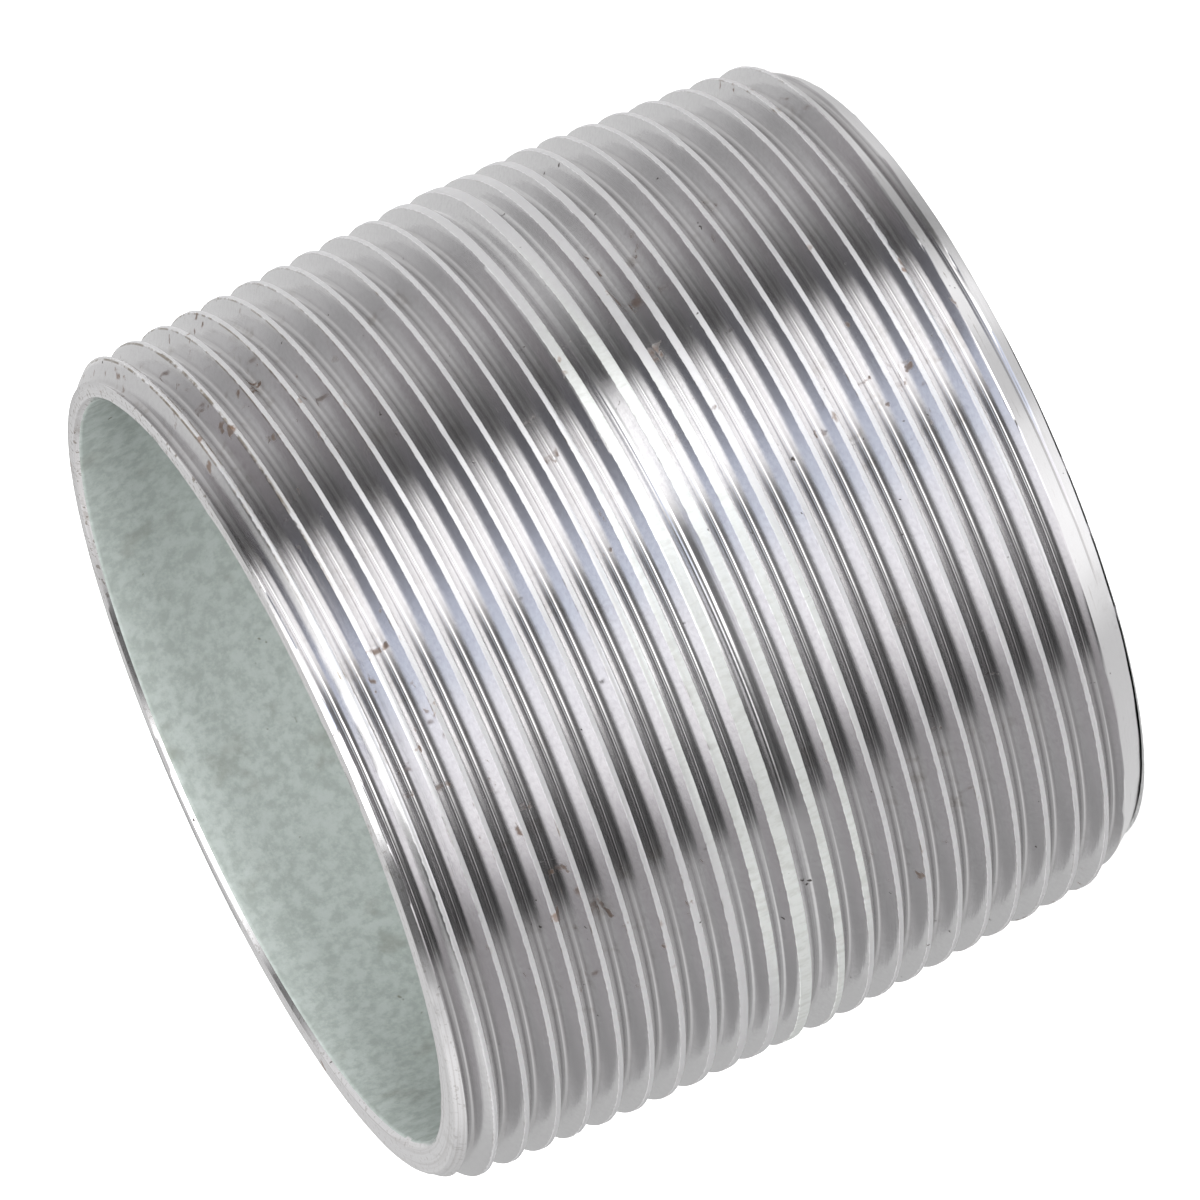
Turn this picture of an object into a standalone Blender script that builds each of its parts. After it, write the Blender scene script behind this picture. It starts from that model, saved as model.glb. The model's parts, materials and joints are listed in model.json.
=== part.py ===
"""Close nipple for 2 inch pipe: one galvanised steel pipe with a taper thread cut from each end.

The axis is +Z. The nipple stands on its lower end face, centred on the origin.
"""

import math

import bmesh
import bpy
from mathutils import Matrix, Vector

# Pipe, in metres
LENGTH = 0.0508
OUTSIDE_RADIUS = 0.060325 / 2
BORE_RADIUS = 0.0525 / 2

# 60 degree taper pipe thread, 11.5 turns per inch
PITCH = 0.0254 / 11.5
TAPER = 1 / 32
THREAD_HEIGHT = 0.8 * PITCH
FLANK_SLOPE = math.tan(math.radians(30))
FLAT = 0.038 * PITCH
GAUGE_PITCH_RADIUS = 0.057633 / 2
TURNS_SHORT = 1
END_PITCH_RADIUS = GAUGE_PITCH_RADIUS + TURNS_SHORT * PITCH * TAPER

# Height of the first root above the lower end, and below the upper end, in turns
LOWER_START = 0.659
UPPER_START = 0.139
MEETING_HEIGHT = 0.0257
MEETING_LENGTH = 0.0016

# End chamfers
CHAMFER_SLOPE = math.tan(math.radians(36))
LOWER_RIM_RADIUS = 0.0275
UPPER_RIM_RADIUS = 0.0281

SEGMENTS = 48
OVERRUN_TURNS = 3
CUTTER_MARGIN = 0.001
MERGE = 1e-6
SMOOTH_ANGLE = math.radians(30)

ZINC_COLOUR = (0.62, 0.61, 0.62, 1.0)
ZINC_ROUGHNESS = 0.35


def clear_scene():
    for obj in list(bpy.data.objects):
        bpy.data.objects.remove(obj, do_unlink=True)


def add_object(name, bm):
    mesh = bpy.data.meshes.new(name)
    bmesh.ops.recalc_face_normals(bm, faces=bm.faces)
    bm.to_mesh(mesh)
    bm.free()
    obj = bpy.data.objects.new(name, mesh)
    bpy.context.scene.collection.objects.link(obj)
    return obj


def zinc_coat():
    material = bpy.data.materials.new("zinc_coat")
    material.use_nodes = True
    shader = material.node_tree.nodes["Principled BSDF"]
    shader.inputs["Base Color"].default_value = ZINC_COLOUR
    shader.inputs["Metallic"].default_value = 1.0
    shader.inputs["Roughness"].default_value = ZINC_ROUGHNESS
    return material


def end_distance(height):
    """Distance to the end that the thread at this height was cut from."""
    if height < MEETING_HEIGHT + MEETING_LENGTH / 2:
        return height
    return LENGTH - height


def pitch_radius(height):
    return END_PITCH_RADIUS + end_distance(height) * TAPER


def root_radius(height):
    return pitch_radius(height) - THREAD_HEIGHT / 2


def crest_radius(height):
    """The full crest, or the skin of the pipe where the thread is too shallow to reach it."""
    return min(pitch_radius(height) + THREAD_HEIGHT / 2, OUTSIDE_RADIUS)


def crest_offset(height):
    """Height of a crest's edge above or below the middle of its root."""
    return FLAT / 2 + (crest_radius(height) - root_radius(height)) * FLANK_SLOPE


def meeting_lift(height):
    """The upper thread doesn't start in step with the lower one, so the crest between them is wider."""
    gap = (LENGTH / PITCH - LOWER_START - UPPER_START) % 1 * PITCH
    share = (height - MEETING_HEIGHT) / MEETING_LENGTH
    return gap * min(max(share, 0), 1)


def spin_sleeve(bm):
    """A helical sleeve of constant radius: one turn's rows, spun up past both ends."""
    rows = [-FLAT / 2, FLAT / 2, crest_offset(0), PITCH - crest_offset(0), PITCH - FLAT / 2]
    start = (LOWER_START - OVERRUN_TURNS) * PITCH
    points = [bm.verts.new((OUTSIDE_RADIUS, 0, start + row)) for row in rows]
    edges = [bm.edges.new(pair) for pair in zip(points, points[1:])]
    turns = math.ceil(LENGTH / PITCH) + 2 * OVERRUN_TURNS
    bmesh.ops.spin(
        bm,
        geom=points + edges,
        axis=(0, 0, 1),
        dvec=(0, 0, PITCH / SEGMENTS),
        angle=math.tau * turns,
        steps=SEGMENTS * turns,
    )
    bmesh.ops.remove_doubles(bm, verts=bm.verts, dist=MERGE)


def cut_thread(bm):
    """Moves each row of the sleeve to its root or its crest."""
    for vert in bm.verts:
        angle = math.atan2(vert.co.y, vert.co.x)
        turn = vert.co.z / PITCH - LOWER_START - angle / math.tau
        root = vert.co.z - (turn - round(turn)) * PITCH
        side = math.copysign(1, turn - round(turn))
        is_root = abs(turn - round(turn)) * PITCH < FLAT
        middle = root + meeting_lift(root)
        if is_root:
            height = middle + side * FLAT / 2
            radius = root_radius(height)
        else:
            height = middle + side * crest_offset(middle)
            radius = crest_radius(height)
        vert.co = Vector((radius * math.cos(angle), radius * math.sin(angle), height))


def close_ends(bm):
    """Cuts the sleeve flat just past both ends of the nipple and closes it."""
    for height, normal in ((-CUTTER_MARGIN, -1), (LENGTH + CUTTER_MARGIN, 1)):
        bmesh.ops.bisect_plane(
            bm,
            geom=bm.verts[:] + bm.edges[:] + bm.faces[:],
            plane_co=(0, 0, height),
            plane_no=(0, 0, normal),
            clear_outer=True,
        )
        rim = [edge for edge in bm.edges if edge.is_boundary and on_plane(edge, height)]
        bmesh.ops.contextual_create(bm, geom=rim)


def on_plane(edge, height):
    return all(abs(vert.co.z - height) < MERGE for vert in edge.verts)


def thread_form():
    bm = bmesh.new()
    spin_sleeve(bm)
    cut_thread(bm)
    close_ends(bm)
    form = add_object("thread_form", bm)
    form.hide_render = True
    form.display_type = "WIRE"
    return form


def chamfered_pipe():
    """The bored pipe with its two end chamfers, turned from its wall section."""
    outer = OUTSIDE_RADIUS + CUTTER_MARGIN
    lower_rise = (outer - LOWER_RIM_RADIUS) / CHAMFER_SLOPE
    upper_rise = (outer - UPPER_RIM_RADIUS) / CHAMFER_SLOPE
    section = [
        (BORE_RADIUS, 0),
        (LOWER_RIM_RADIUS, 0),
        (outer, lower_rise),
        (outer, LENGTH - upper_rise),
        (UPPER_RIM_RADIUS, LENGTH),
        (BORE_RADIUS, LENGTH),
    ]
    bm = bmesh.new()
    points = [bm.verts.new((radius, 0, height)) for radius, height in section]
    edges = [bm.edges.new(pair) for pair in zip(points, points[1:] + points[:1])]
    bmesh.ops.spin(
        bm,
        geom=points + edges,
        axis=(0, 0, 1),
        angle=math.tau,
        steps=SEGMENTS,
        use_merge=True,
    )
    half_step = Matrix.Rotation(math.pi / SEGMENTS, 4, "Z")
    bmesh.ops.transform(bm, matrix=half_step, verts=bm.verts)
    return add_object("nipple_body", bm)


def build_nipple():
    body = chamfered_pipe()
    body.data.materials.append(zinc_coat())
    threads = body.modifiers.new("cut_threads", "BOOLEAN")
    threads.operation = "INTERSECT"
    threads.object = thread_form()
    body.data.shade_smooth()
    body.data.set_sharp_from_angle(angle=SMOOTH_ANGLE)


clear_scene()
build_nipple()
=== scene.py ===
import json
import math
import random

import bmesh
import bpy
from mathutils import Matrix, Vector, kdtree, noise

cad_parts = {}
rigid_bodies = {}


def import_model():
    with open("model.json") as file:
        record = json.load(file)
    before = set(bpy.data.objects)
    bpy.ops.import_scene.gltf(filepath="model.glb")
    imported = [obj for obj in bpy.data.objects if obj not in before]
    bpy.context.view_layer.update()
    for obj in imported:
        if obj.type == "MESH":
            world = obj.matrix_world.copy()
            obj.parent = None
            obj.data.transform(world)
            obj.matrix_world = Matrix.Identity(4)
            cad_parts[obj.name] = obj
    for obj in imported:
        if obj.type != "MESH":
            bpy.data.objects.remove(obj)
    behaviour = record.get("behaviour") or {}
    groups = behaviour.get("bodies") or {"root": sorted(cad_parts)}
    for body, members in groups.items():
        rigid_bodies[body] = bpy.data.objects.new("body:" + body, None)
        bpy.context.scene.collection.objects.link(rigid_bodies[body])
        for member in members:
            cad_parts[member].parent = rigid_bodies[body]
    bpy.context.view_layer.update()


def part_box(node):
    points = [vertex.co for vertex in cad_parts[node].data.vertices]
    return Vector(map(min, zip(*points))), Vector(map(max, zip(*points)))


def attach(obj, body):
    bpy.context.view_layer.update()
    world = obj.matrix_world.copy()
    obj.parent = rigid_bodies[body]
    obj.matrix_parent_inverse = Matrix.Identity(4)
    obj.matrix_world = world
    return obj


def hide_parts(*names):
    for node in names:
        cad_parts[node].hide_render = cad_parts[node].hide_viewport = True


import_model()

nodeLow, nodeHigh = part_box("nipple_body")
mm = 0.001

# the threaded pipe, lengths in metres
body = {
    "length": nodeHigh[2] - nodeLow[2],
    "outsideRadius": (nodeHigh[0] - nodeLow[0]) / 2,
    "boreRadius": 26.25 * mm,
    "pitch": 25.4 * mm / 11.5,
    "flankSlope": math.tan(math.radians(30)),
    # each thread's crest cone: radius at the pipe's end and at half height, and how far off centre
    # at half height and how much more at the end
    "lowerCone": (29.07 * mm, 30.41 * mm, 0.1 * mm, 0.02 * mm),
    "upperCone": (29.18 * mm, 30.3 * mm, -0.26 * mm, -0.14 * mm),
    "depth": 1.36 * mm,  # crest cone to root
    "rootRound": 0.3 * mm,
    "lowerStart": 0.659,  # first root above the lower end, in turns
    "upperStart": 0.139,  # first root below the upper end, in turns
    "meeting": 26.4 * mm,  # height where the two threads meet
    "lowerRunOut": (25.8 * mm, 26.6 * mm),  # root heights between which each thread fades
    "upperRunOut": (27.2 * mm, 26.3 * mm),
    "drag": 0.2,  # how much the lower thread's last turn stretches before it fades
    "dragFrom": 24.7 * mm,
    "dragReach": 2 * mm,
    # the drawn skin between the threads: how far under the outside radius, and how uneven
    "skinUnder": 0.1 * mm,
    "skinOval": 0.05 * mm,
    "skinOffAxis": 0.07 * mm,
    "skinRipple": 0.03 * mm,
    "chamferSlope": math.tan(math.radians(36)),
    "lowerRim": 27.2 * mm,
    "lowerRimShift": 0.3 * mm,  # how far that rim sits off centre
    "upperRim": 28.1 * mm,
    "rimWander": 0.1 * mm,
    "rimRagged": 0.04 * mm,
    "rimWorn": (0.09 * mm, 0.2 * mm),  # depth and height of the lower rim's worn edge
    "turnedLines": (0.012 * mm, 0.22 * mm),  # depth and spacing on the upper chamfer
    "toolMarks": (0.02 * mm, 0.62 * mm),
    # the reamed edge of the bore: out from the bore, in from the end, unevenness
    "reamed": ((0.9 * mm, 0, 0), (0.4 * mm, 0, 0.12 * mm), (0.1 * mm, 0.28 * mm, 0), (0, 0.5 * mm, 0)),
    "columns": 256,
    "rowsPerTurn": 12,
    "boreRows": 8,  # from each end
    "crestPlace": 0.43,  # where a crest's edge lies, in turns from the root
    "denseEnds": 4.2 * mm,  # twice the rows this near an end, and this near the meeting
    "denseMiddle": 1.6 * mm,
    "evenEnds": (3.2 * mm, 4.8 * mm),  # this far in, rows leave even spacing for the crests' edges
    "sharpAngle": math.radians(38),
}


def smoothStep(start, end, value):
    # the start may be above the end
    share = min(max((value - start) / (end - start), 0.0), 1.0)
    return share * share * (3 - 2 * share)


def around(angle, spread, seed):
    # smooth noise that closes on itself around the pipe
    return noise.noise(Vector((spread * math.cos(angle), spread * math.sin(angle), seed)))


def skinRadius(angle, height):
    # the drawn pipe is a little out of round, and off the thread's axis
    oval = body["skinOval"] * math.cos(2 * angle + 0.6)
    offAxis = body["skinOffAxis"] * math.cos(angle - 2.4)
    ripple = body["skinRipple"] * around(angle, 3.0, height / (6 * mm))
    return body["outsideRadius"] - body["skinUnder"] + oval + offAxis + ripple


def crestCone(angle, height, which):
    end, middle, offCentre, more = body[which]
    half = body["length"] / 2
    share = abs(height - half) / half
    return middle + (end - middle) * share + (offCentre + more * share) * math.cos(angle)


def grooveRadius(distance, crest, lift):
    # a rounded root between two straight flanks, at this distance from the middle of the root
    rounding = body["rootRound"]
    root = crest - body["depth"] + lift
    tangent = rounding * math.cos(math.radians(30))
    if distance < tangent:
        return root + rounding - math.sqrt(rounding ** 2 - distance ** 2)
    return root + rounding / 2 + (distance - tangent) / body["flankSlope"]


def thread(angle, height, firstRoot, cone, runOut):
    # firstRoot is the height of one root at angle 0
    offset = math.remainder(height - firstRoot - angle / math.tau * body["pitch"], body["pitch"])
    fade = smoothStep(*runOut, height - offset)
    return grooveRadius(abs(offset), cone, fade * body["depth"])


def lowerChamfer(angle, height, wander):
    wornDepth, wornHeight = body["rimWorn"]
    radius = body["lowerRim"] + wander + height * body["chamferSlope"]
    radius += body["lowerRimShift"] * math.cos(angle)
    return radius - wornDepth * smoothStep(-wornHeight, 0, -height)


def upperChamfer(angle, height, wander):
    below = body["length"] - height
    lineDepth, lineSpacing = body["turnedLines"]
    markDepth, markSpacing = body["toolMarks"]
    radius = body["upperRim"] - wander + below * body["chamferSlope"]
    radius += body["upperCone"][2] * math.cos(angle)
    lines = lineDepth * noise.noise(Vector((height / lineSpacing, 3.0, 0.4 * math.cos(angle))))
    return radius + (lines + markDepth * math.sin(below / markSpacing * math.tau))


def surface(angle, height):
    # radius of the finished outside, depth below the crest in mm, and how much is chamfer or drawn skin
    pitch, length = body["pitch"], body["length"]
    skin = skinRadius(angle, height)
    lowerCone = crestCone(angle, height, "lowerCone")
    upperCone = crestCone(angle, height, "upperCone")
    drag = body["drag"] * min(max(height - body["dragFrom"], 0), body["dragReach"])
    lower = thread(angle, height - drag, body["lowerStart"] * pitch, lowerCone, body["lowerRunOut"])
    upper = thread(angle, height, length - body["upperStart"] * pitch, upperCone, body["upperRunOut"])
    wander = body["rimWander"] * around(angle, 1.6, 4.0) + body["rimRagged"] * around(angle, 9.0, 2.0)
    chamfer = min(lowerChamfer(angle, height, wander), upperChamfer(angle, height, wander))
    cone = min(upperCone if height > body["meeting"] else lowerCone, skin)
    threaded = min(lower, upper, cone)
    onChamfer = smoothStep(-0.02 * mm, 0.02 * mm, threaded - chamfer)
    drawnSkin = smoothStep(0.02 * mm, 0.12 * mm, min(lowerCone, upperCone) - skin)
    return min(threaded, chamfer), (cone - threaded) / mm, onChamfer, drawnSkin


def rowShift(offset, angle, root, gap, tight):
    # moves the even rows of one turn to the root's arc, the flanks and the crest's two edges
    pitch = body["pitch"]
    tangent = body["rootRound"] * math.cos(math.radians(30))
    crestHeight = root + math.copysign(body["crestPlace"] * pitch, offset)
    skin = skinRadius(angle, crestHeight)
    cone = crestCone(angle, crestHeight, "upperCone" if root > body["meeting"] else "lowerCone")
    lowerFade = smoothStep(*body["lowerRunOut"], root)
    upperFade = smoothStep(*body["upperRunOut"], root + gap)
    drop = min(cone, skin) - cone + body["depth"] * (1 - min(lowerFade, upperFade))
    edge = tangent + max(drop - body["rootRound"] / 2, 0) * body["flankSlope"]
    stops = [0, tangent / 2, tangent, (tangent + edge) / 2, edge, (edge + pitch / 2) / 2, pitch / 2]
    place = abs(offset) / pitch * body["rowsPerTurn"]
    low = min(int(place), len(stops) - 2)
    moved = stops[low] + (place - low) * (stops[low + 1] - stops[low])
    return math.copysign(abs(offset) + (moved - abs(offset)) * tight, offset)


def inDenseZone(height):
    nearEnd = min(height, body["length"] - height) < body["denseEnds"]
    return nearEnd or abs(height - body["meeting"]) < body["denseMiddle"]


def threadSleeve(bm):
    # one upright line of even rows, spun one turn while it climbs one pitch, so its ends meet
    pitch, rows = body["pitch"], body["rowsPerTurn"]
    turns = math.ceil(body["length"] / pitch) + 5
    start = (body["lowerStart"] - 3) * pitch
    foot = bm.verts.new((body["outsideRadius"], 0, start))
    head = bm.verts.new((body["outsideRadius"], 0, start + turns * pitch))
    line = bm.edges.new((foot, head))
    bmesh.ops.subdivide_edges(bm, edges=[line], cuts=turns * rows - 1)
    bmesh.ops.spin(
        bm, geom=bm.verts[:] + bm.edges[:], axis=(0, 0, 1), dvec=(0, 0, pitch / body["columns"]),
        angle=math.tau, steps=body["columns"])
    bmesh.ops.remove_doubles(bm, verts=bm.verts, dist=0.01 * mm)
    upright = [
        edge for edge in bm.edges
        if abs(edge.verts[0].co.z - edge.verts[1].co.z) > pitch / rows / 2
        and inDenseZone(edge.verts[0].co.z)]
    bmesh.ops.subdivide_edges(bm, edges=upright, cuts=1, use_grid_fill=True)


def cutThreads(bm, depthLayer, turnedLayer, drawnLayer):
    pitch, length = body["pitch"], body["length"]
    # how far the upper thread's roots lie above the lower thread's
    gap = (length / pitch - body["lowerStart"] - body["upperStart"]) % 1 * pitch
    for vert in bm.verts:
        angle = math.atan2(vert.co.y, vert.co.x)
        turns = vert.co.z / pitch - body["lowerStart"] - angle / math.tau
        offset = (turns - round(turns)) * pitch
        root = vert.co.z - offset
        tight = smoothStep(*body["evenEnds"], min(abs(root), abs(length - root)))
        height = root + rowShift(offset, angle, root, gap, tight)
        # the rows follow the stretched last turn until they are in step with the upper thread
        stretch = max(height - body["dragFrom"], 0) * body["drag"] / (1 - body["drag"])
        height += min(stretch, gap)
        radius, depth, onChamfer, drawnSkin = surface(angle, height)
        vert.co = (radius * math.cos(angle), radius * math.sin(angle), height)
        vert[depthLayer] = depth
        vert[turnedLayer] = onChamfer
        vert[drawnLayer] = drawnSkin


def rimEdges(bm, height):
    return [
        edge for edge in bm.edges
        if edge.is_boundary and all(abs(vert.co.z - height) < 0.001 * mm for vert in edge.verts)]


def drawIn(bm, edges, radius, height, uneven=0.0, seed=0.0):
    # extrudes a ring of edges and sets the new ring to this radius and height
    made = bmesh.ops.extrude_edge_only(bm, edges=edges)["geom"]
    ring = [item for item in made if isinstance(item, bmesh.types.BMVert)]
    for vert in ring:
        angle = math.atan2(vert.co.y, vert.co.x)
        size = radius + uneven * around(angle, 4.0, seed)
        vert.co = (size * math.cos(angle), size * math.sin(angle), height)
    inner = [
        item for item in made
        if isinstance(item, bmesh.types.BMEdge) and all(vert in ring for vert in item.verts)]
    return inner, ring


def boreWall(bm, turnedLayer):
    # a flat end ring with a reamed inner edge, and the bore down to half height, from both ends
    length, bore, rows = body["length"], body["boreRadius"], body["boreRows"]
    reamDepth = body["reamed"][-1][1]
    loops = []
    for height, inward, seed in ((0, 1, 1.0), (length, -1, 5.0)):
        bmesh.ops.bisect_plane(
            bm, geom=bm.verts[:] + bm.edges[:] + bm.faces[:], plane_co=(0, 0, height),
            plane_no=(0, 0, -inward), clear_outer=True)
        edges = rimEdges(bm, height)
        for out, drop, uneven in body["reamed"]:
            edges, ring = drawIn(bm, edges, bore + out, height + inward * drop, uneven, seed)
            for vert in ring:
                vert[turnedLayer] = 1
        for row in range(1, rows + 1):
            down = reamDepth + (length / 2 - 2 * reamDepth) * row / rows
            edges, ring = drawIn(bm, edges, bore, height + inward * down)
            for vert in ring:
                vert[turnedLayer] = 0
        loops += edges
    bmesh.ops.bridge_loops(bm, edges=loops)


# marks from handling; sizes and depths are ranges in mm, and a negative depth stands proud
wear = {
    "nicks": 170,
    "nickSize": (0.35, 0.8),
    "nickDepth": (0.04, 0.16),
    "nickSense": (1, 1, 1, -0.4),  # about one nick in four is a low bulge
    "rimBurrs": 46,
    "burrSize": (0.3, 0.7),
    "burrDepth": (-0.16, 0.16),
    "fade": 0.3 * mm,
    "seed": 11,
}


def nicks(bm):
    # small dents, mostly on the crests, and burrs along both rims and the bore's upper edge
    rng = random.Random(wear["seed"])
    tree = kdtree.KDTree(len(bm.verts))
    verts = list(bm.verts)
    for index, vert in enumerate(verts):
        tree.insert(vert.co, index)
    tree.balance()
    marks = []
    for _ in range(wear["nicks"]):
        height = rng.uniform(0, body["length"])
        size = rng.uniform(*wear["nickSize"]) * mm
        depth = rng.uniform(*wear["nickDepth"]) * mm * rng.choice(wear["nickSense"])
        marks.append((body["outsideRadius"] * 0.99, height, size, depth))
    for _ in range(wear["rimBurrs"]):
        rim = rng.choice((body["boreRadius"] + body["reamed"][1][0], body["upperRim"], body["lowerRim"]))
        height = 0 if rim == body["lowerRim"] else body["length"]
        size = rng.uniform(*wear["burrSize"]) * mm
        marks.append((rim, height, size, rng.uniform(*wear["burrDepth"]) * mm))
    for radius, height, size, depth in marks:
        angle = rng.uniform(0, math.tau)
        centre = Vector((radius * math.cos(angle), radius * math.sin(angle), height))
        for _, index, reach in tree.find_range(centre, size + wear["fade"]):
            vert = verts[index]
            outward = Vector((vert.co.x, vert.co.y, 0)).normalized()
            vert.co -= outward * depth * smoothStep(size + wear["fade"], 0, reach)


def buildBody():
    bm = bmesh.new()
    depthLayer = bm.verts.layers.float.new("crestDepth")
    turnedLayer = bm.verts.layers.float.new("turned")
    drawnLayer = bm.verts.layers.float.new("drawnSkin")
    threadSleeve(bm)
    cutThreads(bm, depthLayer, turnedLayer, drawnLayer)
    boreWall(bm, turnedLayer)
    nicks(bm)
    bmesh.ops.recalc_face_normals(bm, faces=bm.faces)
    mesh = bpy.data.meshes.new("threadedBody")
    for face in bm.faces:
        centre = face.calc_center_median()
        inside = math.hypot(centre.x, centre.y) < body["boreRadius"] + 0.06 * mm
        face.material_index = 1 if inside else 0
        face.smooth = True
    bm.to_mesh(mesh)
    bm.free()
    mesh.set_sharp_from_angle(angle=body["sharpAngle"])
    piece = bpy.data.objects.new("threadedBody", mesh)
    bpy.context.scene.collection.objects.link(piece)
    triangles = sum(len(face.vertices) - 2 for face in mesh.polygons)
    print("threaded body:", triangles, "triangles")
    return piece


# helpers for node trees; a setting names one of the node's inputs or one of its own properties
def addNode(tree, kind, **settings):
    node = tree.nodes.new(kind)
    for name, value in settings.items():
        if name in node.inputs:
            node.inputs[name].default_value = value
        else:
            setattr(node, name, value)
    return node


def plug(tree, socket, value):
    if isinstance(value, (int, float, tuple)):
        socket.default_value = value
    else:
        tree.links.new(value, socket)


def maths(tree, operation, first, second=None):
    node = addNode(tree, "ShaderNodeMath", operation=operation)
    plug(tree, node.inputs[0], first)
    if second is not None:
        plug(tree, node.inputs[1], second)
    return node.outputs[0]


def product(tree, first, *others):
    for other in others:
        first = maths(tree, "MULTIPLY", first, other)
    return first


def total(tree, first, *others):
    for other in others:
        first = maths(tree, "ADD", first, other)
    return first


def larger(tree, first, second):
    return maths(tree, "MAXIMUM", first, second)


def mapRange(tree, value, low, high, lowTo=0.0, highTo=1.0):
    node = addNode(tree, "ShaderNodeMapRange", interpolation_type="SMOOTHSTEP")
    tree.links.new(value, node.inputs["Value"])
    for name, number in (("From Min", low), ("From Max", high), ("To Min", lowTo), ("To Max", highTo)):
        node.inputs[name].default_value = number
    return node.outputs[0]


def mixColour(tree, share, first, second, blend="MIX"):
    node = addNode(tree, "ShaderNodeMix", data_type="RGBA", blend_type=blend)
    for socket, value in ((0, share), (6, first), (7, second)):
        plug(tree, node.inputs[socket], value)
    return node.outputs[2]


def stretched(tree, vector, across, along):
    node = addNode(tree, "ShaderNodeVectorMath", operation="MULTIPLY")
    tree.links.new(vector, node.inputs[0])
    node.inputs[1].default_value = (across, across, along)
    return node.outputs[0]


def noiseField(tree, vector, scale, detail=2.0, rough=0.5):
    node = addNode(tree, "ShaderNodeTexNoise", Scale=scale, Detail=detail, Roughness=rough)
    tree.links.new(vector, node.inputs["Vector"])
    return node.outputs["Fac"]


def splitUp(tree, vector):
    node = addNode(tree, "ShaderNodeSeparateXYZ")
    tree.links.new(vector, node.inputs[0])
    return node.outputs[:]


def placeInMm(tree):
    coordinates = addNode(tree, "ShaderNodeTexCoord")
    scaled = addNode(tree, "ShaderNodeVectorMath", operation="SCALE", Scale=1 / mm)
    tree.links.new(coordinates.outputs["Object"], scaled.inputs[0])
    return scaled.outputs[0]


def latheLines(tree, x, y, z):
    # coordinates that hardly change around the pipe, for lines that follow the lathe
    radius = maths(tree, "SQRT", total(tree, maths(tree, "POWER", x, 2.0), maths(tree, "POWER", y, 2.0)))
    lathe = addNode(tree, "ShaderNodeCombineXYZ")
    tree.links.new(maths(tree, "DIVIDE", x, radius), lathe.inputs[0])
    tree.links.new(maths(tree, "DIVIDE", y, radius), lathe.inputs[1])
    fromMiddle = maths(tree, "ABSOLUTE", maths(tree, "SUBTRACT", z, body["length"] / 2 / mm))
    along = maths(tree, "SUBTRACT", fromMiddle, product(tree, radius, 1.7))
    tree.links.new(product(tree, along, 4.0), lathe.inputs[2])
    return lathe.outputs[0]


def mask(tree, name):
    return addNode(tree, "ShaderNodeAttribute", attribute_name=name).outputs["Fac"]


def addBump(tree, shader, height, strength, distance):
    bump = addNode(tree, "ShaderNodeBump", Strength=strength, Distance=distance)
    tree.links.new(height, bump.inputs["Height"])
    tree.links.new(bump.outputs[0], shader.inputs["Normal"])


def newMaterial(name):
    material = bpy.data.materials.new(name)
    material.use_nodes = True
    tree = material.node_tree
    return material, tree, tree.nodes["Principled BSDF"]


threadZinc = {
    "cut": (0.785, 0.78, 0.785, 1),
    "cutDull": (0.74, 0.73, 0.74, 1),
    # the roots' colour is painted shade: the same zinc made darker where the groove is deepest
    "root": (0.58, 0.565, 0.57, 1),
    "crest": (0.75, 0.745, 0.755, 1),
    "skin": (0.90, 0.92, 0.90, 1),
    "skinDull": (0.80, 0.815, 0.785, 1),
    "turned": (0.97, 0.96, 0.97, 1),
    "turnedDull": (0.80, 0.78, 0.78, 1),
    "grime": (0.20, 0.155, 0.10, 1),
    "pit": (0.10, 0.085, 0.075, 1),
    "rust": (0.24, 0.13, 0.07, 1),
    "rootShadeShare": 0.6,
    "lineShare": 0.8,
    "pitShare": 0.85,
    "rustShare": 0.7,
    "roughness": 0.12,
    "markRoughness": 0.4,
    "skinDiffuse": 0.22,
    "bump": 0.4,
    "bumpDepth": 0.02 * mm,
}


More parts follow.
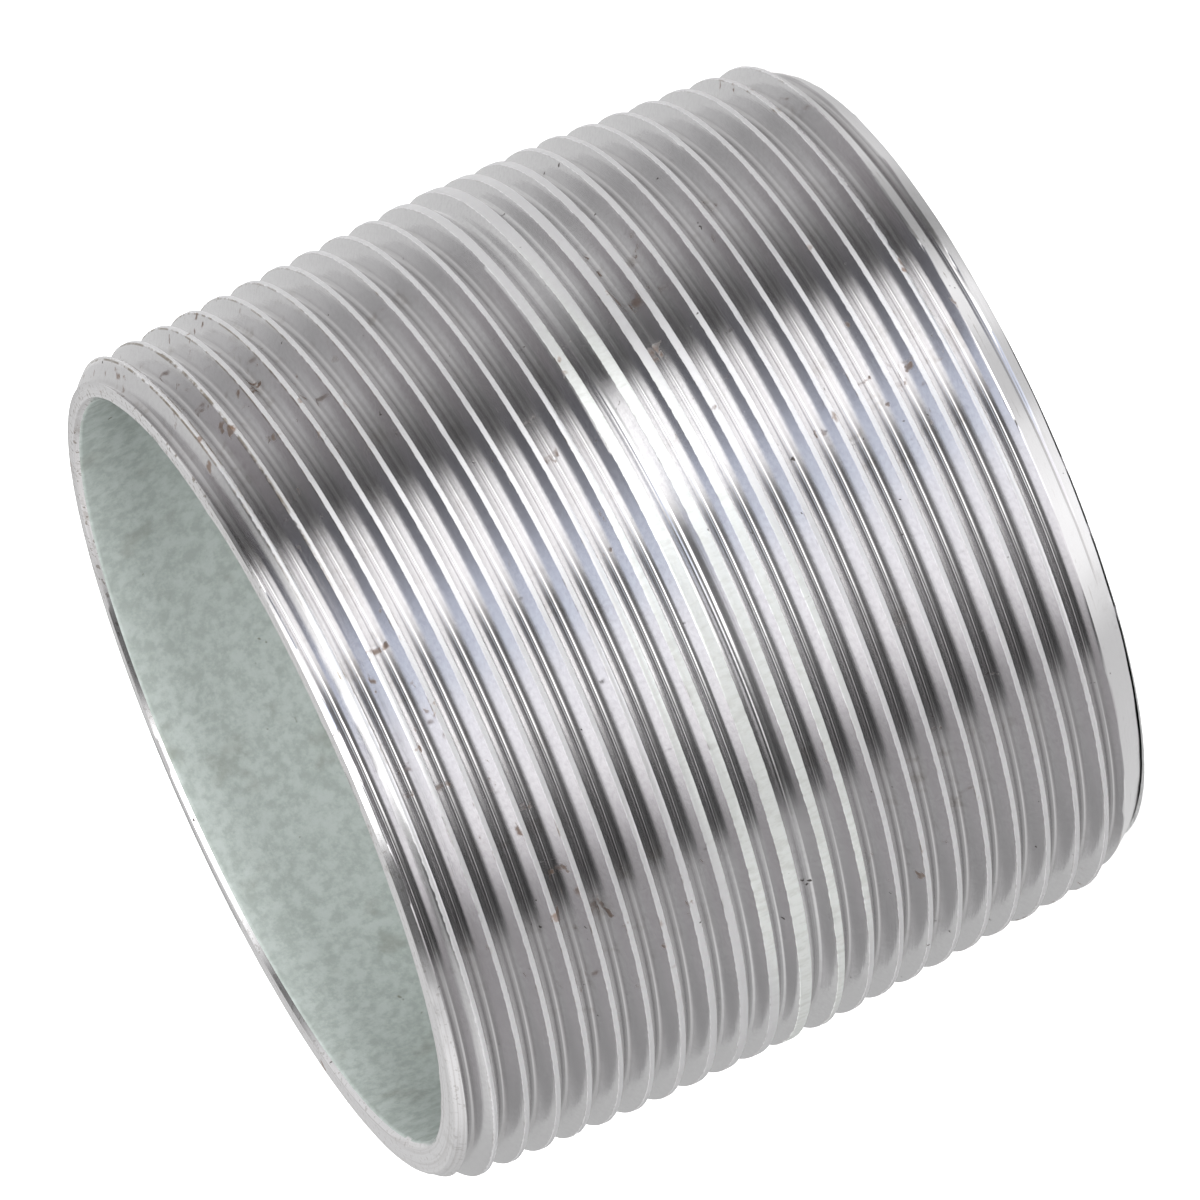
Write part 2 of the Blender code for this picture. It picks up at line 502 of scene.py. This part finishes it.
def zincOutside():
    material, tree, shader = newMaterial("zincThread")
    place = placeInMm(tree)
    x, y, z = splitUp(tree, place)
    lathe = latheLines(tree, x, y, z)
    depth, turned, drawnSkin = mask(tree, "crestDepth"), mask(tree, "turned"), mask(tree, "drawnSkin")
    fineLines = noiseField(tree, lathe, 2.2, 3.0, 0.6)
    turning = noiseField(tree, lathe, 0.8, 4.0, 0.7)
    upperTurned = product(tree, turned, mapRange(tree, z, 20.0, 30.0, 0.12, 1.0))
    grain = noiseField(tree, place, 3.2, 3.0, 0.6)
    cloud = noiseField(tree, place, 0.25, 2.0, 0.5)
    drawn = noiseField(tree, stretched(tree, place, 1.8, 0.8), 1.0, 4.0, 0.65)

    # handling dirt gathers in clouds, most of all on one side of the upper end
    upperSide = product(tree, mapRange(tree, x, 2.0, 24.0), mapRange(tree, z, 30.0, 47.0))
    dirty = larger(tree, mapRange(tree, noiseField(tree, place, 0.09, 3.0, 0.6), 0.5, 0.66), upperSide)

    # cut flanks with painted shade darkening the roots, the skin left on the crests with a ragged edge, and
    # turned ends
    ragged = total(tree, depth, mapRange(tree, drawn, 0.3, 0.7, -0.03, 0.03))
    skin = product(tree, mapRange(tree, ragged, 0.07, 0.02), maths(tree, "SUBTRACT", 1.0, turned))
    cut = mixColour(tree, mapRange(tree, grain, 0.38, 0.66), threadZinc["cut"], threadZinc["cutDull"])
    # painted shade: parts more than 1 mm below the crest are darkened towards the roots' colour
    rootShade = mapRange(tree, depth, 1.0, 1.3, 0.0, threadZinc["rootShadeShare"])
    cut = mixColour(tree, rootShade, cut, threadZinc["root"])
    patchy = mapRange(tree, drawn, 0.42, 0.66)
    skinColour = mixColour(tree, patchy, threadZinc["skin"], threadZinc["skinDull"])
    skinColour = mixColour(tree, drawnSkin, threadZinc["crest"], skinColour)
    lined = product(tree, mapRange(tree, turning, 0.42, 0.66), upperTurned)
    turnedColour = mixColour(tree, lined, threadZinc["turned"], threadZinc["turnedDull"])
    colour = mixColour(tree, skin, cut, skinColour)
    colour = mixColour(tree, turned, colour, turnedColour)

    # oil and dust in the roots and along the crest edges
    patches = mapRange(tree, noiseField(tree, place, 0.42, 4.0, 0.75), 0.52, 0.68)
    edge = product(tree, mapRange(tree, depth, 0.0, 0.03), mapRange(tree, depth, 0.16, 0.06))
    hollow = product(tree, mapRange(tree, depth, 0.7, 1.2), 0.35)
    film = product(tree, total(tree, hollow, edge), patches)
    film = product(tree, film, mapRange(tree, dirty, 0.0, 1.0, 0.2, 0.8))
    colour = mixColour(tree, film, colour, threadZinc["grime"])

    # brown lines along the crest edges and specks on the turned end, where the pipe was gripped
    gripped = mapRange(tree, noiseField(tree, place, 0.7, 3.0, 0.6), 0.42, 0.56)
    lines = product(tree, edge, upperSide, gripped, threadZinc["lineShare"])
    flecks = mapRange(tree, noiseField(tree, place, 2.4, 2.0, 0.6), 0.57, 0.66)
    flecks = product(tree, flecks, upperTurned, mapRange(tree, upperSide, 0, 1, 0.22, 0.6))
    colour = mixColour(tree, larger(tree, lines, flecks), colour, threadZinc["grime"])
    pits = mapRange(tree, noiseField(tree, stretched(tree, place, 1.5, 0.9), 1.0, 2.0, 0.6), 0.745, 0.765)
    colour = mixColour(tree, product(tree, pits, threadZinc["pitShare"]), colour, threadZinc["pit"])
    spots = mapRange(tree, noiseField(tree, stretched(tree, place, 0.7, 0.9), 1.0, 3.0, 0.5), 0.65, 0.72)
    spots = product(tree, spots, mapRange(tree, dirty, 0.3, 0.9))
    colour = mixColour(tree, product(tree, spots, threadZinc["rustShare"]), colour, threadZinc["rust"])
    tree.links.new(colour, shader.inputs["Base Color"])

    marks = larger(tree, spots, pits)
    rough = total(
        tree, mapRange(tree, fineLines, 0.3, 0.75, 0.0, 0.07), mapRange(tree, cloud, 0.3, 0.7, 0.0, 0.03),
        threadZinc["roughness"], product(tree, skin, mapRange(tree, drawn, 0.35, 0.7, 0.2, 0.3)),
        product(tree, marks, threadZinc["markRoughness"]))
    tree.links.new(rough, shader.inputs["Roughness"])
    bare = maths(tree, "SUBTRACT", 1.0, product(tree, skin, threadZinc["skinDiffuse"]))
    tree.links.new(bare, shader.inputs["Metallic"])

    relief = total(
        tree, product(tree, fineLines, 0.5), product(tree, grain, 0.08),
        product(tree, drawn, skin, mapRange(tree, drawnSkin, 0, 1, 0.15, 0.9)),
        product(tree, turning, upperTurned, 1.3))
    relief = maths(tree, "SUBTRACT", relief, product(tree, marks, 0.7))
    addBump(tree, shader, relief, threadZinc["bump"], threadZinc["bumpDepth"])
    return material


boreZinc = {
    "light": (0.375, 0.41, 0.395, 1),
    "shade": (0.29, 0.323, 0.304, 1),
    "stain": (0.17, 0.18, 0.15, 1),
    "stainShare": 0.45,
    "metallic": 0.1,
    "bump": 0.5,
    "bumpDepth": 0.05 * mm,
}


def zincBore():
    material, tree, shader = newMaterial("zincBore")
    place = placeInMm(tree)
    grain = noiseField(tree, place, 1.1, 5.0, 0.68)
    cloud = mapRange(tree, noiseField(tree, place, 0.22, 3.0, 0.6), 0.56, 0.72, 0.0, boreZinc["stainShare"])
    pits = mapRange(tree, noiseField(tree, place, 0.9, 2.0, 0.5), 0.74, 0.78)
    colour = mixColour(tree, mapRange(tree, grain, 0.35, 0.65), boreZinc["light"], boreZinc["shade"])
    colour = mixColour(tree, cloud, colour, boreZinc["stain"])
    colour = mixColour(tree, pits, colour, boreZinc["stain"])
    tree.links.new(colour, shader.inputs["Base Color"])
    tree.links.new(mapRange(tree, grain, 0.3, 0.7, 0.55, 0.75), shader.inputs["Roughness"])
    shader.inputs["Metallic"].default_value = boreZinc["metallic"]
    addBump(tree, shader, grain, boreZinc["bump"], boreZinc["bumpDepth"])
    return material


# level with the pipe's middle, tipped up a little and turned on its side
camera = {
    "aim": (1.1 * mm, 0, body["length"] / 2 - 0.28 * mm),
    "elevation": math.radians(12.97),
    "roll": math.radians(-114.3),
    "distance": 0.795,
    "sensor": 36,
    "lens": 365.2,
    "clipEnd": 20,
}


def towardsCamera():
    return Vector((0, -math.cos(camera["elevation"]), math.sin(camera["elevation"])))


def addCamera():
    data = bpy.data.cameras.new("camera")
    data.sensor_width = camera["sensor"]
    data.lens = camera["lens"]
    data.clip_end = camera["clipEnd"]
    obj = bpy.data.objects.new("camera", data)
    bpy.context.scene.collection.objects.link(obj)
    outward = towardsCamera()
    place = Matrix.Translation(Vector(camera["aim"]) + outward * camera["distance"])
    turn = outward.to_track_quat("Z", "Y").to_matrix() @ Matrix.Rotation(camera["roll"], 3, "Z")
    obj.matrix_world = place @ turn.to_4x4()
    bpy.context.scene.camera = obj


# soft strips of light around the pipe: degrees around from the front, and the brightness there
strips = {
    "upper": [
        (-180, .5), (-90, .58), (-66, .54), (-45, .58), (-34, .17), (-29, .07), (-22, .7), (-12, 1.4),
        (0, 2.2), (8, 2.1), (13, .75), (19, .1), (31, .1), (36, .46), (50, .68), (62, .6), (74, .45),
        (90, .42), (180, .5)],
    "front": [
        (-180, .55), (-90, .8), (-75, .68), (-60, .38), (-45, .55), (-34, .14), (-28, .05), (-24, 1.5),
        (-14, 1.8), (-9, 1.2), (-6, .12), (3, .22), (12, .2), (24, .07), (32, .04), (35, .44), (60, .34),
        (90, .34), (180, .55)],
    "low": [
        (-180, .6), (-90, .85), (-75, .66), (-63, .43), (-45, .34), (-30, .11), (-25, .14), (-20, .25),
        (-15, .38), (-10, .76), (-2, .94), (1, 1.16), (6, 1.24), (17, 1.16), (23, .8), (28, .42),
        (33, .38), (60, .42), (90, .42), (180, .6)],
    "lowTint": [
        (-180, (1.02, 1, .97)), (-90, (1.01, .99, .98)), (-65, (1.02, .985, 1)), (-34, (1.02, .97, 1)),
        (-26, (.96, .97, 1.08)), (-10, (.89, .96, 1.15)), (-2, (.92, .98, 1.12)), (2, (.98, .985, 1.04)),
        (15, (1, .99, 1.01)), (30, (1.01, .98, 1)), (60, (1.01, .985, 1)), (90, (1.04, 1.01, .95)),
        (180, (1.02, 1, .97))],
    "below": [
        (-180, .6), (-90, .6), (-60, .45), (-45, .57), (-35, .32), (-28, .3), (-20, .82), (-9, .46),
        (-3, .5), (3, .74), (13, .84), (20, .8), (31, .46), (60, .52), (90, .6), (180, .6)],
    "ceiling": (0.5, 0.5, 0.5, 1),
    "floorShade": 0.55,
    # degrees of lift over which one strip gives way to the next
    "belowToLow": (-32, -24),
    "lowToFront": (-9, -3),
    "frontToUpper": (7, 21),
    "upperToCeiling": (55, 67),
    "belowToFloor": (-46, -60),
    "strength": 1.2,
}


def ramp(tree, value, name):
    node = addNode(tree, "ShaderNodeValToRGB")
    elements = node.color_ramp.elements
    while len(elements) > 1:
        elements.remove(elements[-1])
    for index, (degrees, level) in enumerate(strips[name]):
        place = (degrees + 180) / 360
        element = elements[0] if index == 0 else elements.new(place)
        element.position = place
        element.color = (*level, 1) if isinstance(level, tuple) else (level, level, level, 1)
    tree.links.new(value, node.inputs["Fac"])
    return node.outputs["Color"]


def studioDome():
    world = bpy.data.worlds.new("studio")
    bpy.context.scene.world = world
    world.use_nodes = True
    tree = world.node_tree
    background = tree.nodes["Background"]
    # the facing that would show this part of the dome to the camera
    facing = addNode(tree, "ShaderNodeVectorMath", operation="ADD")
    tree.links.new(addNode(tree, "ShaderNodeTexCoord").outputs["Generated"], facing.inputs[0])
    facing.inputs[1].default_value = towardsCamera()
    unit = addNode(tree, "ShaderNodeVectorMath", operation="NORMALIZE")
    tree.links.new(facing.outputs[0], unit.inputs[0])
    x, y, z = splitUp(tree, unit.outputs[0])
    turn = maths(tree, "ARCTAN2", product(tree, x, -1.0), product(tree, y, -1.0))
    turn = total(tree, maths(tree, "DIVIDE", turn, math.tau), 0.5)
    lift = product(tree, maths(tree, "ARCSINE", z), 180 / math.pi)
    low = mixColour(tree, 1.0, ramp(tree, turn, "low"), ramp(tree, turn, "lowTint"), "MULTIPLY")
    colour = mixColour(tree, mapRange(tree, lift, *strips["belowToLow"]), ramp(tree, turn, "below"), low)
    for blend, name in (("lowToFront", "front"), ("frontToUpper", "upper")):
        colour = mixColour(tree, mapRange(tree, lift, *strips[blend]), colour, ramp(tree, turn, name))
    shade = mapRange(tree, lift, *strips["belowToFloor"], 0.0, strips["floorShade"])
    colour = mixColour(tree, shade, colour, (0, 0, 0, 1))
    colour = mixColour(tree, mapRange(tree, lift, *strips["upperToCeiling"]), colour, strips["ceiling"])
    # a plain backdrop where the camera sees past the floor
    seen = addNode(tree, "ShaderNodeLightPath").outputs["Is Camera Ray"]
    colour = mixColour(tree, seen, colour, (1, 1, 1, 1))
    tree.links.new(colour, background.inputs["Color"])
    background.inputs["Strength"].default_value = strips["strength"]


stage = {
    "size": 8.0,
    "colour": (0.9, 0.9, 0.9, 1),
    "roughness": 0.9,
    "fill": 2.6,
    "lamp": 2.2,  # a soft lamp that looks into the bore
    "lampTilt": math.radians(48),
    "lampSpread": math.radians(50),
}


def addSun(name, energy, tilt):
    # shines straight down, or from the front when tilted; it lights dull surfaces only
    sun = bpy.data.lights.new(name, "SUN")
    sun.energy = energy
    lamp = bpy.data.objects.new(name, sun)
    lamp.rotation_euler = (tilt, 0, 0)
    lamp.visible_glossy = False
    bpy.context.scene.collection.objects.link(lamp)
    return sun


def addStage():
    bm = bmesh.new()
    bmesh.ops.create_grid(bm, x_segments=1, y_segments=1, size=stage["size"] / 2)
    mesh = bpy.data.meshes.new("floor")
    bm.to_mesh(mesh)
    bm.free()
    floor = bpy.data.objects.new("floor", mesh)
    bpy.context.scene.collection.objects.link(floor)
    material, _, shader = newMaterial("paleFloor")
    shader.inputs["Base Color"].default_value = stage["colour"]
    shader.inputs["Roughness"].default_value = stage["roughness"]
    mesh.materials.append(material)
    floor.visible_glossy = False
    addSun("floorFill", stage["fill"], 0).use_shadow = False
    addSun("softLamp", stage["lamp"], stage["lampTilt"]).angle = stage["lampSpread"]


nipple = buildBody()
nipple.data.materials.append(zincOutside())
nipple.data.materials.append(zincBore())
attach(nipple, "root")
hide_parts("nipple_body")
print("materials done")

addStage()
studioDome()
addCamera()
bpy.context.scene.view_settings.view_transform = "Standard"
print("stage, light and camera done")
